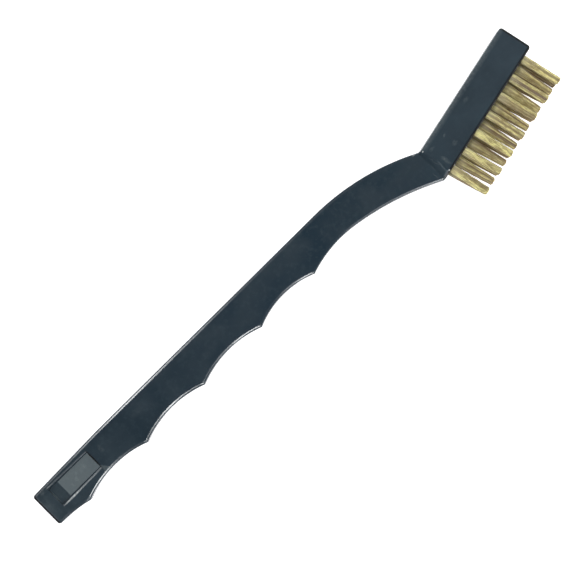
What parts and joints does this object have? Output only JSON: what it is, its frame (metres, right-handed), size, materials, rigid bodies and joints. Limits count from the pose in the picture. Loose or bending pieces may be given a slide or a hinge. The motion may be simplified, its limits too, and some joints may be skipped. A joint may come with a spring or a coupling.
{
  "type": "instrument cleaning brush",
  "caption": "Hand brush for scrubbing small tools: bent plastic handle with finger grips along one edge, and a narrow head filled with rows of short brass wire tufts.",
  "frame": {"origin": "on the surface that the brush lies on, under the middle of its box", "axes": "+X from the butt to the head, +Y from the bristle ends to the spine, +Z across the thickness, up from the side that the brush lies on; the pocket opens to +Z"},
  "size_m": [0.183, 0.0298, 0.011],
  "materials": {
    "handle_plastic": "moulded, semi-gloss",
    "bristle_brass": "drawn wire",
    "anchor_metal": "rolled flat wire"
  },
  "bodies": {
    "root": {"handle": "handle_plastic", "tuft_01": "bristle_brass", "tuft_02": "bristle_brass", "tuft_03": "bristle_brass", "tuft_04": "bristle_brass", "tuft_05": "bristle_brass", "tuft_06": "bristle_brass", "tuft_07": "bristle_brass", "tuft_08": "bristle_brass", "tuft_09": "bristle_brass", "tuft_10": "bristle_brass", "tuft_11": "bristle_brass", "tuft_12": "bristle_brass", "tuft_13": "bristle_brass", "tuft_14": "bristle_brass", "tuft_15": "bristle_brass", "tuft_16": "bristle_brass", "tuft_17": "bristle_brass", "tuft_18": "bristle_brass", "tuft_19": "bristle_brass", "tuft_20": "bristle_brass", "anchor_01": "anchor_metal", "anchor_02": "anchor_metal", "anchor_03": "anchor_metal", "anchor_04": "anchor_metal", "anchor_05": "anchor_metal", "anchor_06": "anchor_metal", "anchor_07": "anchor_metal", "anchor_08": "anchor_metal", "anchor_09": "anchor_metal", "anchor_10": "anchor_metal", "anchor_11": "anchor_metal", "anchor_12": "anchor_metal", "anchor_13": "anchor_metal", "anchor_14": "anchor_metal", "anchor_15": "anchor_metal", "anchor_16": "anchor_metal", "anchor_17": "anchor_metal", "anchor_18": "anchor_metal", "anchor_19": "anchor_metal", "anchor_20": "anchor_metal"}
  },
  "joints": []
}
